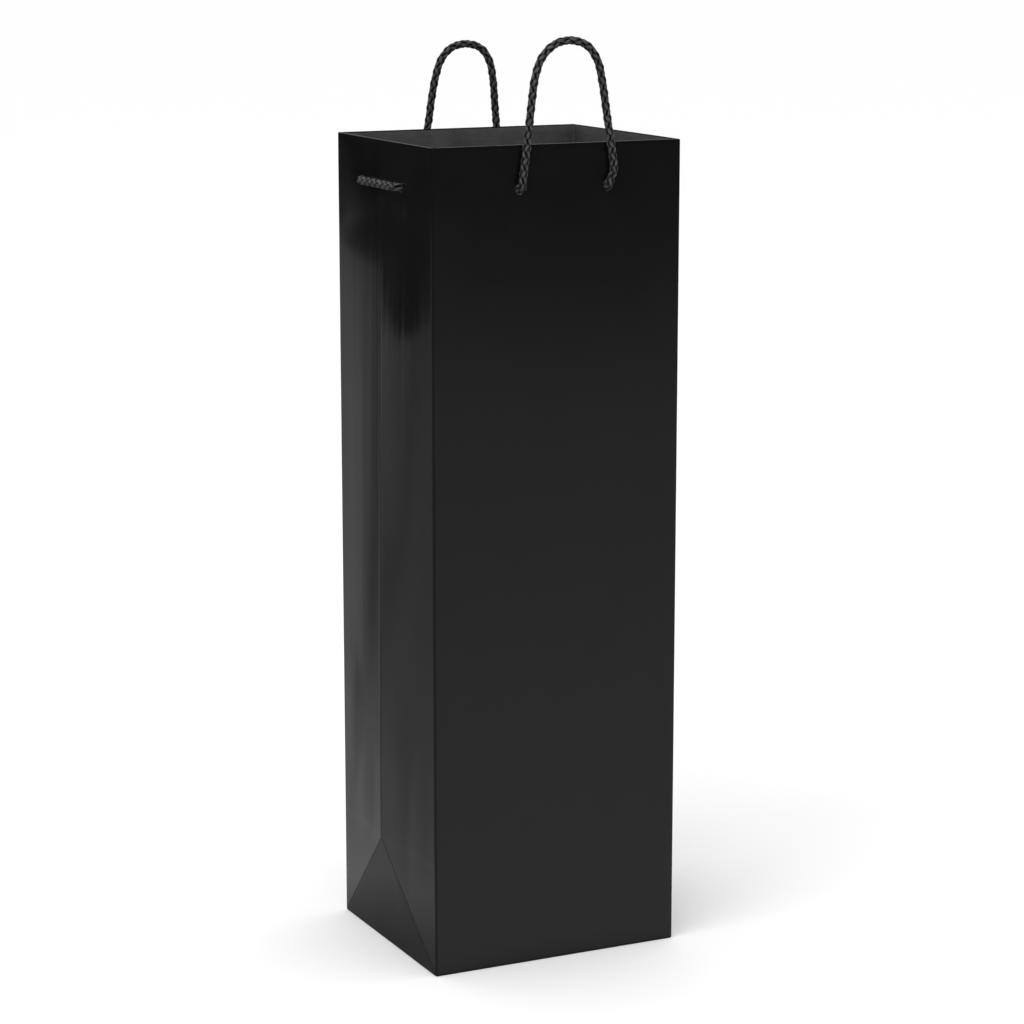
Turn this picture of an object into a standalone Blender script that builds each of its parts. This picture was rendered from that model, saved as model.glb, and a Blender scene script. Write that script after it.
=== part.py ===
"""Wine gift bag: a tall paper carrier for one bottle, with braided cord handles.

Metres, +Z up. The origin is at the middle of the base, on the surface the bag stands on.
The front panel faces -Y, and the gussets are the two narrow sides at -X and +X.

The bag is one printed and laminated sheet, folded and glued. Each region between two
creases is its own solid here, so a crease is a gap between two solids. One cord is laced
through eight punched holes: its two arches outside the front and the back are the handles,
and its other runs cross the inside corners and the outside of each gusset.
"""

import math

import bpy
from mathutils import Vector

# Driving dimensions
WIDTH = 0.116  # front panel, crease to crease
DEPTH = 0.100  # gusset, crease to crease
HEIGHT = 0.356  # base to rim
PAPER = 0.0005  # laminated art paper with its varnish and glue
RIM_CARD = 0.0008  # stiffening card inside the front and back hems
BOARD = 0.0012  # loose greyboard in the base
GAP = 0.0003  # left between pieces that touch

HEM_HEIGHT = 0.040
APEX_HEIGHT = 0.0490  # top of the triangle above the base
# The gusset's middle crease: (height, how far it stands out), from the triangle's top to the rim
RIDGE = [(APEX_HEIGHT, 0.0036), (0.1350, 0.0030), (0.2850, 0.0019), (HEIGHT, 0.0)]
SEAM_TAB_WIDTH = 0.018
FLAP_PAST_MIDDLE = 0.016  # how far each bottom flap runs past the middle of the base
TUCK_REACH = 0.042
TUCK_TAPER = 0.022
BOARD_CLEAR = 0.0015

CORD_RADIUS = 0.00185
HOLE_RADIUS = 0.0023
HOLE_DROP = 0.0183  # hole centre below the rim
GUSSET_HOLE_Y = 0.0200
LEAN_RISE = 0.0025  # the handle's upper bend, above the rim
SLEEVE_LENGTH = 0.010
SLEEVE_WALL = 0.0006

# The handles' routes: (x, height above the rim), hole to hole
FRONT_HANDLE = [
    (-0.0181, -0.0183),
    (-0.0174, -0.0125),
    (-0.0162, -0.0040),
    (-0.0150, 0.0060),
    (-0.0136, 0.0175),
    (-0.0120, 0.0278),
    (-0.0089, 0.0356),
    (-0.0028, 0.0410),
    (0.0047, 0.0424),
    (0.0122, 0.0400),
    (0.0169, 0.0338),
    (0.0192, 0.0249),
    (0.0210, 0.0139),
    (0.0228, 0.0030),
    (0.0243, -0.0060),
    (0.0247, -0.0124),
    (0.0229, -0.0183),
]
BACK_HANDLE = [
    (-0.0186, -0.0183),
    (-0.0170, -0.0115),
    (-0.0149, -0.0040),
    (-0.0133, 0.0030),
    (-0.0119, 0.0122),
    (-0.0097, 0.0229),
    (-0.0069, 0.0303),
    (-0.0020, 0.0352),
    (0.0056, 0.0368),
    (0.0126, 0.0346),
    (0.0167, 0.0289),
    (0.0184, 0.0208),
    (0.0193, 0.0098),
    (0.0201, 0.0000),
    (0.0208, -0.0085),
    (0.0213, -0.0183),
]

# Places that follow from them
HALF_W = WIDTH / 2
HALF_D = DEPTH / 2
HOLE_Z = HEIGHT - HOLE_DROP
LEAN_Z = HEIGHT + LEAN_RISE
HANDLE_Y = HALF_D + CORD_RADIUS + GAP
INSIDE_X = HALF_W - PAPER - GAP  # room inside the gussets' outer layer
INSIDE_Y = HALF_D - PAPER - GAP  # room inside the panels' outer layer
CARD_OUT = INSIDE_Y
HEM_OUT = CARD_OUT - RIM_CARD - GAP
HEM_IN = HEM_OUT - PAPER
BOARD_Z = 3 * (PAPER + GAP)
LEG_TOP = LEAN_Z - CORD_RADIUS - GAP
CUT = 0.010  # how far a hole cutter reaches past the layers


def clear_scene():
    for obj in list(bpy.data.objects):
        bpy.data.objects.remove(obj, do_unlink=True)


def make_collection(name, hidden=False):
    made = bpy.data.collections.new(name)
    bpy.context.scene.collection.children.link(made)
    made.hide_render = hidden
    return made


def make_material(name, colour, roughness):
    material = bpy.data.materials.new(name)
    material.use_nodes = True
    shader = material.node_tree.nodes["Principled BSDF"]
    shader.inputs["Base Color"].default_value = (*colour, 1.0)
    shader.inputs["Roughness"].default_value = roughness
    material.diffuse_color = (*colour, 1.0)
    return material


def put_in(obj, collection):
    for old in list(obj.users_collection):
        old.objects.unlink(obj)
    collection.objects.link(obj)


def finish_piece(obj, name, material):
    obj.name = name
    obj.data.name = name
    obj.data.materials.clear()
    obj.data.materials.append(material)
    put_in(obj, PARTS)
    return obj


def box(name, low, high, material):
    """A plain plate between two opposite corners."""
    low = Vector(low)
    high = Vector(high)
    bpy.ops.mesh.primitive_cube_add(size=1.0, location=(low + high) / 2)
    obj = bpy.context.object
    obj.scale = high - low
    bpy.ops.object.transform_apply(location=False, rotation=False, scale=True)
    return finish_piece(obj, name, material)


def outline_plate(name, outline, z_low, thickness, material):
    """A flat plate with a cut outline, lying in XY."""
    curve = bpy.data.curves.new(name, "CURVE")
    curve.dimensions = "2D"
    curve.fill_mode = "BOTH"
    curve.extrude = thickness / 2
    spline = curve.splines.new("POLY")
    spline.points.add(len(outline) - 1)
    for point, (x, y) in zip(spline.points, outline):
        point.co = (x, y, 0.0, 1.0)
    spline.use_cyclic_u = True
    obj = bpy.data.objects.new(name, curve)
    obj.location.z = z_low + thickness / 2
    return finish_piece(obj, name, material)


def punch(obj, places, along):
    """Cuts a cord hole through the plate at each place, along the Y or the X axis."""
    turn = (math.pi / 2, 0, 0) if along == "Y" else (0, math.pi / 2, 0)
    for number, place in enumerate(places):
        bpy.ops.mesh.primitive_cylinder_add(
            vertices=20,
            radius=HOLE_RADIUS,
            depth=2 * CUT,
            location=place,
            rotation=turn,
        )
        cutter = bpy.context.object
        cutter.name = f"cutter_{obj.name}_{number}"
        cutter.hide_render = True
        cutter.display_type = "WIRE"
        put_in(cutter, CUTTERS)
        cut = obj.modifiers.new("hole", "BOOLEAN")
        cut.operation = "DIFFERENCE"
        cut.object = cutter


def smooth_route(points, step):
    """Points about a step apart on a smooth curve (Catmull-Rom) through the route's own."""
    points = [Vector(p) for p in points]
    ends = [2 * points[0] - points[1]] + points + [2 * points[-1] - points[-2]]
    fine = []
    for a, b, c, d in zip(ends, ends[1:], ends[2:], ends[3:]):
        count = max(1, round((c - b).length / step))
        for i in range(count):
            t = i / count
            fine.append(
                0.5
                * (
                    2 * b
                    + (c - a) * t
                    + (2 * a - 5 * b + 4 * c - d) * t**2
                    + (3 * b - a - 3 * c + d) * t**3
                )
            )
    return fine + [points[-1]]


def cord_tube(name, route, material, round_start=False, round_end=False, parent=None):
    """A run of cord along a route. A rounded end is centred on the route's end point."""
    points = [(p, 1.0) for p in route]
    if round_end:
        points += dome(route[-1], route[-1] - route[-2])
    if round_start:
        points = dome(route[0], route[0] - route[1])[::-1] + points
    curve = bpy.data.curves.new(name, "CURVE")
    curve.dimensions = "3D"
    curve.bevel_depth = CORD_RADIUS
    curve.bevel_resolution = 2
    curve.use_fill_caps = True
    spline = curve.splines.new("POLY")
    spline.points.add(len(points) - 1)
    origin = parent.location if parent else Vector((0, 0, 0))
    for point, (place, share) in zip(spline.points, points):
        point.co = (*(place - origin), 1.0)
        point.radius = share
    obj = bpy.data.objects.new(name, curve)
    if parent:
        obj.parent = parent
    return finish_piece(obj, name, material)


def dome(centre, outward):
    """(point, radius share) rings that close a cord's end as a half sphere."""
    outward = outward.normalized()
    rings = []
    for degrees in (30, 55, 75):
        angle = math.radians(degrees)
        rings.append((centre + outward * CORD_RADIUS * math.sin(angle), math.cos(angle)))
    return rings


def pivot(name, place, parent=None):
    """An empty on a joint's axis, which the moving pieces are parented to."""
    empty = bpy.data.objects.new(name, None)
    empty.empty_display_size = 0.01
    empty.location = place
    PARTS.objects.link(empty)
    if parent:
        empty.parent = parent
        empty.location = Vector(place) - parent.location
    return empty


def hole_points(handle, y):
    return [(handle[0][0], y, HOLE_Z), (handle[-1][0], y, HOLE_Z)]


def gusset_hole_points(side):
    return [(side * HALF_W, -GUSSET_HOLE_Y, HOLE_Z), (side * HALF_W, GUSSET_HOLE_Y, HOLE_Z)]


def layer(side, outer, thickness):
    """The low and the high coordinate of a layer, given how far out its outer face is."""
    return sorted((side * outer, side * (outer - thickness)))


def build_wall(name, side, handle):
    """The front (side -1) or back (side +1) panel, its hem and the card inside the hem."""
    holes = hole_points(handle, side * HALF_D)
    low, high = layer(side, HALF_D, PAPER)
    panel = box(f"{name}_panel", (-HALF_W, low, 0), (HALF_W, high, HEIGHT), PRINTED)
    punch(panel, holes, "Y")

    low, high = layer(side, CARD_OUT, RIM_CARD)
    edge = INSIDE_X - 0.002
    card_low = HEIGHT - HEM_HEIGHT + 0.002
    card = box(f"{name}_rim_card", (-edge, low, card_low), (edge, high, HEIGHT - 0.001), CARDBOARD)
    punch(card, holes, "Y")

    low, high = layer(side, HEM_OUT, PAPER)
    hem_low = HEIGHT - HEM_HEIGHT
    hem = box(f"{name}_hem", (-INSIDE_X, low, hem_low), (INSIDE_X, high, HEIGHT), PRINTED)
    punch(hem, holes, "Y")


def build_gusset(name, side):
    """A gusset: long facets that meet at the middle crease, and the triangle below."""
    mesh = bpy.data.meshes.new(name)
    x = side * HALF_W
    levels = [0.0] + [z for z, _ in RIDGE]
    outer = [(x, -INSIDE_Y, z) for z in levels] + [(x, INSIDE_Y, z) for z in levels]
    outer += [(x + side * out, 0.0, z) for z, out in RIDGE]
    count = len(levels)
    front, back, ridge = 0, count, 2 * count
    faces = [(front, back, ridge), (front, ridge, front + 1), (back, back + 1, ridge)]
    for i in range(1, count - 1):
        low, high = ridge + i - 1, ridge + i
        faces += [(front + i, low, front + i + 1), (low, high, front + i + 1)]
        faces += [(back + i, back + i + 1, low), (low, back + i + 1, high)]
    rim = [front + i for i in range(count)] + [ridge + count - 2]
    rim += [back + i for i in range(count - 1, -1, -1)]
    total = len(outer)
    inner = [(px - side * PAPER, py, pz) for px, py, pz in outer]
    faces += [tuple(i + total for i in face[::-1]) for face in faces]
    faces += [(a, b, b + total, a + total) for a, b in zip(rim, rim[1:] + rim[:1])]
    if side < 0:
        faces = [face[::-1] for face in faces]
    mesh.from_pydata(outer + inner, [], faces)
    obj = bpy.data.objects.new(name, mesh)
    finish_piece(obj, name, PRINTED)
    punch(obj, gusset_hole_points(side), "X")

    low, high = layer(side, INSIDE_X, PAPER)
    edge = HEM_IN - GAP
    hem_low = HEIGHT - HEM_HEIGHT
    hem = box(f"{name[:-7]}_hem", (low, -edge, hem_low), (high, edge, HEIGHT), PRINTED)
    punch(hem, gusset_hole_points(side), "X")


def build_seam_tab():
    """The glued tab of the right gusset, inside the back panel."""
    low, high = layer(1, INSIDE_Y, PAPER)
    left = INSIDE_X - SEAM_TAB_WIDTH
    bottom = BOARD_Z + BOARD + GAP
    top = HEIGHT - HEM_HEIGHT - 0.001
    box("seam_tab", (left, low, bottom), (INSIDE_X, high, top), PRINTED)


def build_base():
    """The folded bottom, from the outermost flap up, and the loose board on it."""
    step = PAPER + GAP
    back_low = (-INSIDE_X, -FLAP_PAST_MIDDLE, 0)
    back_high = (INSIDE_X, INSIDE_Y, PAPER)
    box("back_bottom_flap", back_low, back_high, PRINTED)
    front_low = (-INSIDE_X, -INSIDE_Y, step)
    front_high = (INSIDE_X, FLAP_PAST_MIDDLE, step + PAPER)
    box("front_bottom_flap", front_low, front_high, PRINTED)
    for name, side in (("left", -1), ("right", 1)):
        outer = side * INSIDE_X
        inner = side * (INSIDE_X - TUCK_REACH)
        short = INSIDE_Y - TUCK_TAPER
        outline = [(outer, -INSIDE_Y), (inner, -short), (inner, short), (outer, INSIDE_Y)]
        outline_plate(f"{name}_bottom_tuck", outline, 2 * step, PAPER, PRINTED)
    edge_x = HALF_W - PAPER - BOARD_CLEAR
    edge_y = HALF_D - PAPER - BOARD_CLEAR
    box("base_board", (-edge_x, -edge_y, BOARD_Z), (edge_x, edge_y, BOARD_Z + BOARD), GREYBOARD)


def build_handle(name, side, handle):
    """One handle: two legs that swing at the holes, and an arch that leans at the rim."""
    y = side * HANDLE_Y
    route = smooth_route([(x, y, HEIGHT + z) for x, z in handle], 0.0045)
    middle = max(range(len(route)), key=lambda i: route[i].z)
    swing = pivot(f"{name}_swing_axis", Vector((0, y, HOLE_Z)))
    lean = pivot(f"{name}_lean_axis", Vector((0, y, LEAN_Z)), swing)
    for word, half in (("left", route[: middle + 1]), ("right", route[middle:][::-1])):
        leg = cut_at(half, LEG_TOP, keep_below=True)
        cord_tube(f"{name}_{word}_leg", leg, CORD, round_start=True, parent=swing)
    rising = cut_at(route[: middle + 1], LEAN_Z, keep_below=False)
    falling = cut_at(route[middle:][::-1], LEAN_Z, keep_below=False)
    arch = rising + falling[::-1][1:]
    obj = cord_tube(f"{name}_arch", arch, CORD, round_start=True, round_end=True)
    obj.parent = lean
    obj.matrix_parent_inverse.translation = -Vector((0, y, LEAN_Z))


def cut_at(rising, level, keep_below):
    """The part of a rising route below or above a level, with its end on the level."""
    below = [p for p in rising if p.z < level - 0.0004]
    above = [p for p in rising if p.z > level + 0.0004]
    share = (level - below[-1].z) / (above[0].z - below[-1].z)
    edge = below[-1].lerp(above[0], share)
    return below + [edge] if keep_below else [edge] + above


def corner_route(side_x, side_y, hole_x):
    """Inside the bag, from a handle's hole across the corner to the gusset's hole."""
    start = abs(hole_x)
    flat = [
        (start, HALF_D),
        (start + 0.0004, HALF_D - 0.0035),
        (start + 0.0032, HALF_D - 0.0074),
        (start + 0.0100, HALF_D - 0.0112),
        (start + 0.0180, HALF_D - 0.0190),
        (HALF_W - 0.0115, GUSSET_HOLE_Y + 0.0032),
        (HALF_W - 0.0058, GUSSET_HOLE_Y + 0.0004),
        (HALF_W - 0.0006, GUSSET_HOLE_Y),
    ]
    sag = [0, 0.0001, 0.0006, 0.0016, 0.0019, 0.0013, 0.0004, 0]
    route = [(side_x * x, side_y * y, HOLE_Z - drop) for (x, y), drop in zip(flat, sag)]
    return smooth_route(route, 0.003)


def build_inner_runs():
    for x_word, side_x in (("left", -1), ("right", 1)):
        for y_word, side_y, handle in (("front", -1, FRONT_HANDLE), ("back", 1, BACK_HANDLE)):
            hole_x = handle[0][0] if side_x < 0 else handle[-1][0]
            route = corner_route(side_x, side_y, hole_x)
            cord_tube(f"inner_cord_{y_word}_{x_word}", route, CORD)


def build_gusset_crossing(word, side):
    """Outside a gusset, from hole to hole over the middle crease."""
    out = HALF_W + CORD_RADIUS + GAP
    half = [
        (HALF_W - 0.0003, GUSSET_HOLE_Y),
        (HALF_W + 0.0010, GUSSET_HOLE_Y - 0.0002),
        (HALF_W + 0.0023, GUSSET_HOLE_Y - 0.0012),
        (out + 0.0006, GUSSET_HOLE_Y - 0.0034),
        (out + 0.0008, GUSSET_HOLE_Y - 0.0080),
        (out + 0.0007, 0.0080),
        (out + 0.0008, 0.0),
    ]
    flat = [(x, -y) for x, y in half] + [(x, y) for x, y in half[-2::-1]]
    route = smooth_route([(side * x, y, HOLE_Z) for x, y in flat], 0.0022)
    cord_tube(f"gusset_cord_{word}", route, CORD)


def build_join_sleeve():
    """The sleeve that holds the cord's two ends together, on its back right inner run."""
    route = corner_route(1, 1, BACK_HANDLE[-1][0])
    middle = route[len(route) // 2]
    along = route[len(route) // 2 + 1] - route[len(route) // 2 - 1]
    turn = along.to_track_quat("Z", "Y")
    outer = CORD_RADIUS + GAP + SLEEVE_WALL
    made = []
    for radius, depth in ((outer, SLEEVE_LENGTH), (CORD_RADIUS + GAP, 2 * SLEEVE_LENGTH)):
        bpy.ops.mesh.primitive_cylinder_add(vertices=20, radius=radius, depth=depth, location=middle)
        obj = bpy.context.object
        obj.rotation_mode = "QUATERNION"
        obj.rotation_quaternion = turn
        made.append(obj)
    sleeve, bore = made
    finish_piece(sleeve, "cord_join_sleeve", SLEEVE)
    bore.name = "cutter_sleeve_bore"
    bore.hide_render = True
    bore.display_type = "WIRE"
    put_in(bore, CUTTERS)
    cut = sleeve.modifiers.new("bore", "BOOLEAN")
    cut.operation = "DIFFERENCE"
    cut.object = bore


clear_scene()
PARTS = make_collection("wine_gift_bag")
CUTTERS = make_collection("cutters", hidden=True)
PRINTED = make_material("laminated_paper", (0.012, 0.012, 0.013), 0.28)
CARDBOARD = make_material("rim_card", (0.45, 0.42, 0.38), 0.85)
GREYBOARD = make_material("greyboard", (0.03, 0.03, 0.03), 0.8)
CORD = make_material("braided_cord", (0.014, 0.014, 0.015), 0.6)
SLEEVE = make_material("join_sleeve", (0.02, 0.02, 0.02), 0.4)

build_wall("front", -1, FRONT_HANDLE)
build_wall("back", 1, BACK_HANDLE)
build_gusset("left_gusset", -1)
build_gusset("right_gusset", 1)
build_seam_tab()
build_base()
build_handle("front_handle", -1, FRONT_HANDLE)
build_handle("back_handle", 1, BACK_HANDLE)
build_inner_runs()
build_gusset_crossing("left", -1)
build_gusset_crossing("right", 1)
build_join_sleeve()
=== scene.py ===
"""The look of the wine gift bag: folded laminated sheet, braided cord, base board and studio.

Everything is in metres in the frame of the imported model: +Z up, the front panel faces -Y and
the gussets are at -X and +X. The classes come in the order in which the bag is made: finishes,
the folded sleeve, the block bottom, the board, the cord, and then the studio around it.
"""

import logging
import math
from collections.abc import Callable, Sequence
from dataclasses import dataclass, field
from enum import Enum

import bmesh
import bpy
import numpy as np
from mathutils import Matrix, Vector, noise

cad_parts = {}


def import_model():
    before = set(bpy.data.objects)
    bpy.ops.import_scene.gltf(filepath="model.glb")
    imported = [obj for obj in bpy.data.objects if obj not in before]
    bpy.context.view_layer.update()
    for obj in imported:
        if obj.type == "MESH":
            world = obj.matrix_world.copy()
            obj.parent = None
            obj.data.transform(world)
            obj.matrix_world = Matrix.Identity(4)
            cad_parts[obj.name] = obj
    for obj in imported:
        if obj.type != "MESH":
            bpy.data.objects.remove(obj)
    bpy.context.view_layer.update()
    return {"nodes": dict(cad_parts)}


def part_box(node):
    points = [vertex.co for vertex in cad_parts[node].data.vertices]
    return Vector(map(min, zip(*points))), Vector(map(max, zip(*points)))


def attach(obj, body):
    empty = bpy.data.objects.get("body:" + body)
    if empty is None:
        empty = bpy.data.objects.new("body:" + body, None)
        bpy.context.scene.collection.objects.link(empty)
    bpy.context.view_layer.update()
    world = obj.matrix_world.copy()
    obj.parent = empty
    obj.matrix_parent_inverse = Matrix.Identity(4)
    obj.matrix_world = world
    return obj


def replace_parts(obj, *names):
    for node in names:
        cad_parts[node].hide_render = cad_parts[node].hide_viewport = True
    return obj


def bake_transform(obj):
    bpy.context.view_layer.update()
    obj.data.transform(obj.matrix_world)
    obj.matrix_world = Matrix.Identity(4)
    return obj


log = logging.getLogger("wine_gift_bag")

Point = tuple[float, float, float]
Colour = tuple[float, float, float]
Mesh = bpy.types.Mesh
Object = bpy.types.Object
Material = bpy.types.Material
Socket = bpy.types.NodeSocket

BAG = "bag"


class Slot(Enum):
    """Names for the bag's material slots, which nothing in this script reads."""

    PRINTED = "printed_paper"
    CARD = "rim_card"
    BOARD = "greyboard"
    CORD = "braided_cord"
    SLEEVE = "join_sleeve"


class Side(Enum):
    """A handle's side of the bag, as the sign of its Y."""

    FRONT = -1
    BACK = 1

    @property
    def word(self) -> str:
        """The side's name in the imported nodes."""
        return self.name.lower()


# --------------------------------------------------------------------------- shading


class Shading:
    """A material's node tree, with short calls for the nodes that the finishes use."""

    def __init__(self, name: str) -> None:
        """Starts a material with its Principled shader.

        Args:
            name: The material's name.
        """
        self.material: Material = bpy.data.materials.new(name)
        self.material.use_nodes = True
        self.tree = self.material.node_tree
        self.shader = self.tree.nodes["Principled BSDF"]

    def put(self, socket: str, value: float | Colour) -> None:
        """Sets one of the shader's own sockets to a number or a colour."""
        self.shader.inputs[socket].default_value = (*value, 1.0) if isinstance(value, tuple) else value

    def feed(self, socket: str, source: Socket) -> None:
        """Links a computed value to one of the shader's sockets."""
        self.tree.links.new(source, self.shader.inputs[socket])

    def node(self, kind: str, inputs: dict[str | int, object] | None = None,
             **settings: object) -> bpy.types.Node:
        """Adds a node.

        Args:
            kind: The node's type, without the ShaderNode in front.
            inputs: Values or sockets for its inputs, by name or number.
            settings: The node's own settings.

        Returns:
            The node.
        """
        made = self.tree.nodes.new("ShaderNode" + kind)
        for name, value in settings.items():
            setattr(made, name, value)
        for name, value in (inputs or {}).items():
            if isinstance(value, Socket):
                self.tree.links.new(value, made.inputs[name])
            else:
                made.inputs[name].default_value = value
        return made

    def place(self) -> Socket:
        """The surface point in the bag's own frame."""
        return self.node("TexCoord").outputs["Object"]

    def along(self) -> Socket:
        """The surface point as length along a strand and share around it."""
        return self.node("UVMap", uv_map="strand").outputs["UV"]

    def lift(self) -> Socket:
        """How far out of the braid a strand's surface stands, from 0 to 1."""
        return self.node("Attribute", attribute_name="lift").outputs["Fac"]

    def stretched(self, source: Socket, scale: Point) -> Socket:
        """A point with each axis scaled by its own factor."""
        return self.node("Mapping", {"Vector": source, "Scale": scale}).outputs["Vector"]

    def noise(self, source: Socket, scale: float, detail: float = 3.0, rough: float = 0.5) -> Socket:
        """Soft noise from 0 to 1, with its cells a metre, its octaves and how strong the fine ones are."""
        inputs = {"Vector": source, "Scale": scale, "Detail": detail, "Roughness": rough}
        return self.node("TexNoise", inputs).outputs["Fac"]

    def math(self, kind: str, a: float | Socket, b: float | Socket = 0.0, clamp: bool = False) -> Socket:
        """One step of arithmetic, kept from 0 to 1 where clamp is set."""
        return self.node("Math", {0: a, 1: b}, operation=kind, use_clamp=clamp).outputs[0]

    def times(self, a: float | Socket, b: float | Socket) -> Socket:
        """The product of two values."""
        return self.math("MULTIPLY", a, b)

    def ramp(self, source: Socket, low: float, high: float,
             at_low: float = 0.0, at_high: float = 1.0) -> Socket:
        """A value moved smoothly from the range low to high to the range at_low to at_high."""
        inputs = {"Value": source, 1: low, 2: high, 3: at_low, 4: at_high}
        return self.node("MapRange", inputs, interpolation_type="SMOOTHSTEP").outputs[0]

    def mix(self, share: Socket, a: Colour | Socket, b: Colour | Socket) -> Socket:
        """A colour between two colours, the first at share 0 and the second at 1."""
        first, second = (end if isinstance(end, Socket) else (*end, 1.0) for end in (a, b))
        return self.node("Mix", {0: share, 6: first, 7: second}, data_type="RGBA").outputs[2]

    def between(self, share: Socket, a: float | Socket, b: float | Socket) -> Socket:
        """A number between two numbers, the first at share 0 and the second at 1."""
        return self.node("Mix", {0: share, 2: a, 3: b}, data_type="FLOAT").outputs[0]

    def curve(self, share: Socket, stops: Sequence[tuple[float, float]], low: float, high: float) -> Socket:
        """A level read off a curve of straight lines.

        Args:
            share: Where the curve is read, from 0 at its left end to 1 at its right.
            stops: Its points, as pairs of place and level.
            low: The place of its left end.
            high: The place of its right end.

        Returns:
            The level.
        """
        ramp = self.node("ValToRGB", {"Fac": share})
        elements = ramp.color_ramp.elements
        while len(elements) < len(stops):
            elements.new(1.0)
        for element, (place, level) in zip(elements, stops):
            element.position = min((place - low) / (high - low), 1.0)
            element.color = (level, level, level, 1.0)
        return ramp.outputs["Color"]

    def bump(self, height: Socket, distance: float, under: Socket | None = None) -> Socket:
        """A normal bent by a height.

        Args:
            height: The height, from 0 to 1.
            distance: The depth in metres that 0 to 1 stands for.
            under: A normal from another bump that this one lies on.

        Returns:
            The normal.
        """
        inputs: dict[str | int, object] = {"Height": height, "Distance": distance, "Strength": 1.0}
        if under is not None:
            inputs["Normal"] = under
        return self.node("Bump", inputs).outputs["Normal"]


class SheetMap:
    """Where a shaded point lies on the folded sheet, each value from 0 to 1 unless it says."""

    # How far inside an edge each mask begins, and how far inside it is whole
    gusset_margin: tuple[float, float] = (0.0012, 0.0006)
    panel_margin: tuple[float, float] = (0.0010, 0.0004)
    corner_margin: tuple[float, float] = (0.0011, 0.0004)
    rim_margin: tuple[float, float] = (0.0012, 0.0006)
    apex_margin: tuple[float, float] = (0.0008, 0.0)

    def __init__(self, s: Shading, sheet: "SleeveSizes") -> None:
        """Reads the point.

        Args:
            s: The film's shading.
            sheet: The sleeve's sizes.
        """
        wide, deep, apex = sheet.half_width, sheet.half_depth, sheet.apex_height
        axes = s.node("SeparateXYZ", {"Vector": s.place()})
        x = s.math("ABSOLUTE", axes.outputs["X"])
        self.off_middle = s.math("ABSOLUTE", axes.outputs["Y"])  # in metres
        z = axes.outputs["Z"]
        slanted = s.math("SUBTRACT", deep, s.times(z, deep / apex))
        self.in_triangle = s.math("SUBTRACT", slanted, self.off_middle)  # in metres, below 0 outside
        self.on_gusset = self.near(s, x, wide, self.gusset_margin)
        self.on_panel = self.near(s, self.off_middle, deep, self.panel_margin)
        beside_x = self.near(s, x, wide, self.corner_margin)
        beside_y = self.near(s, self.off_middle, deep, self.corner_margin)
        self.on_corner = s.times(beside_x, beside_y)
        self.on_rim = self.near(s, z, sheet.height, self.rim_margin)
        self.above_apex = self.near(s, z, apex, self.apex_margin)
        self.height = z  # in metres

    def near(self, s: Shading, value: Socket, edge: float, margin: tuple[float, float]) -> Socket:
        """1 where a value is at an edge or past it, falling to 0 over the margin before it."""
        return s.ramp(value, edge - margin[0], edge - margin[1])


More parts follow.
